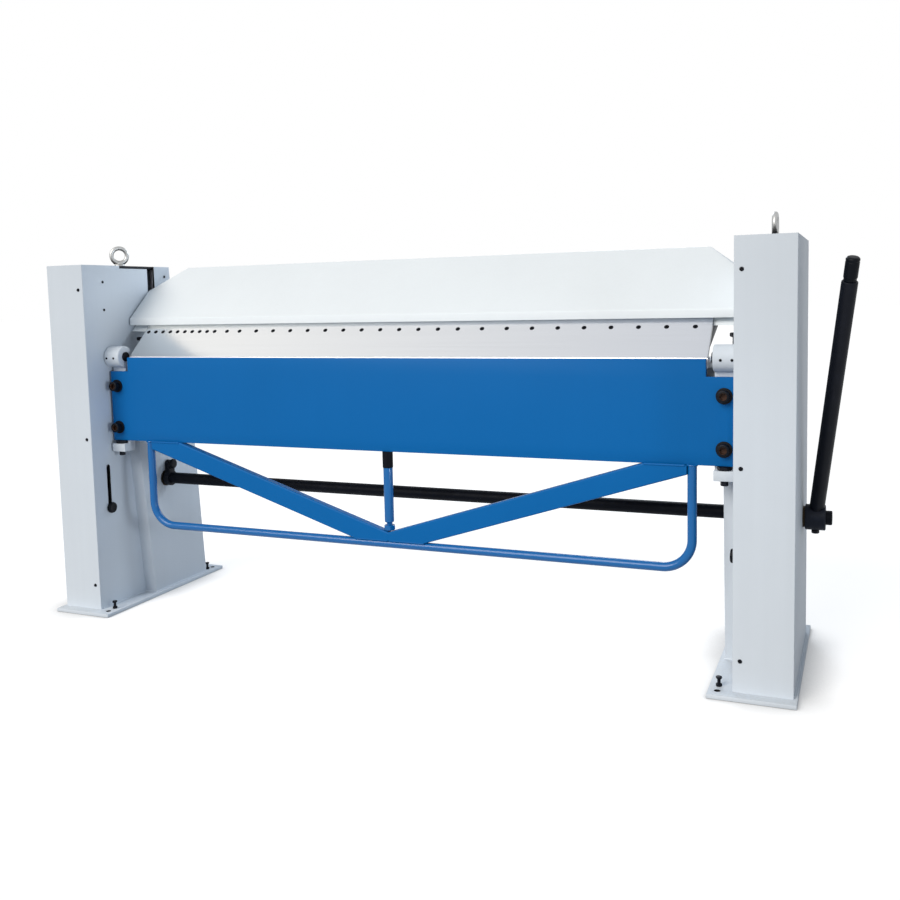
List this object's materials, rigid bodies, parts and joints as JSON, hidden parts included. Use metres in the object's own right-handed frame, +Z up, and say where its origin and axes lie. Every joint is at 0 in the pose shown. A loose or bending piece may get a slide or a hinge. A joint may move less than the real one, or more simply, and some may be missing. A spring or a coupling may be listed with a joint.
{
  "type": "sheet metal folding machine",
  "caption": "Manual sheet-metal folder: two columns, a lifting clamping beam with a sloping blade, a swing-up apron with a U handle, and a clamping lever.",
  "frame": {"origin": "on the floor, in the middle of the four inner anchor holes", "axes": "+X along the bend line, towards the clamping lever; +Y towards the back; +Z up"},
  "size_m": [2.6874, 0.68, 1.328],
  "materials": {
    "column_paint": "satin",
    "beam_paint": "satin",
    "apron_paint": "satin",
    "bed_paint": "satin",
    "black_steel": "satin",
    "zinc_steel": "satin",
    "ground_steel": "satin",
    "bronze": "satin",
    "black_plastic": "gloss"
  },
  "bodies": {
    "frame": {"base_plate_left": "column_paint", "base_plate_right": "column_paint", "inner_wall_left": "column_paint", "inner_wall_right": "column_paint", "step_box_left": "column_paint", "step_box_right": "column_paint", "outer_wall_left": "column_paint", "outer_wall_right": "column_paint", "back_cover_left": "column_paint", "back_cover_right": "column_paint", "front_cover_left": "column_paint", "front_cover_right": "column_paint", "top_plate_left": "black_steel", "top_plate_right": "black_steel", "levelling_bolts": "black_steel", "levelling_nuts": "black_steel", "cover_screws": "black_steel", "wall_screws": "zinc_steel", "guide_gibs": "ground_steel", "eye_bolts": "zinc_steel", "shaft_bushes": "bronze", "hinge_pins": "black_steel", "beam_stop_screws": "black_steel", "bed_strip": "ground_steel", "bed_top": "bed_paint", "bed_web": "bed_paint", "bed_foot": "bed_paint"},
    "upper_beam": {"beam_shell": "beam_paint", "blade_seat": "ground_steel", "clamping_blade": "ground_steel", "blade_screws": "black_steel", "guide_tongues": "ground_steel", "drive_pins": "ground_steel", "pull_rod_left": "ground_steel", "pull_rod_right": "ground_steel"},
    "clamp_shaft": {"clamp_shaft": "black_steel", "lift_crank_left": "black_steel", "lift_crank_right": "black_steel", "stop_arm": "black_steel", "stop_arm_knob": "black_plastic", "lever_hub": "black_steel", "lever_bar": "black_steel", "lever_grip": "black_plastic", "lever_screw": "black_steel"},
    "apron": {"apron_plate": "apron_paint", "hinge_arm_left": "beam_paint", "hinge_arm_right": "beam_paint", "hub_screws": "black_steel", "apron_bolts": "black_steel", "adjusting_screws": "black_steel", "adjusting_nuts": "black_steel", "handle_tube": "apron_paint", "brace_left": "apron_paint", "brace_right": "apron_paint", "centre_rod": "apron_paint", "rod_end_nuts": "black_steel"},
    "slide_left": {"slide_knob_left": "black_plastic", "knob_slide_left": "ground_steel"},
    "slide_right": {"slide_knob_right": "black_plastic", "knob_slide_right": "ground_steel"}
  },
  "joints": [
    {"name": "lever_turn", "type": "hinge", "parent": "frame", "child": "clamp_shaft", "pos_m": [0, 0.03, 0.44], "axis": [-1, 0, 0], "range_deg": [0, 48]},
    {"name": "beam_lift", "type": "slide", "parent": "frame", "child": "upper_beam", "axis": [0, 0, 1], "range_m": [0, 0.0488]},
    {"name": "apron_swing", "type": "hinge", "parent": "frame", "child": "apron", "pos_m": [0, -0.179, 0.92], "axis": [-1, 0, 0], "range_deg": [0, 135]},
    {"name": "knob_slide_left", "type": "slide", "parent": "frame", "child": "slide_left", "axis": [0, 0, 1], "range_m": [0, 0.14]},
    {"name": "knob_slide_right", "type": "slide", "parent": "frame", "child": "slide_right", "axis": [0, 0, 1], "range_m": [0, 0.14]}
  ],
  "couplings": [
    {"joint": "beam_lift", "follows": "lever_turn", "m_per_rad": 0.05825}
  ]
}
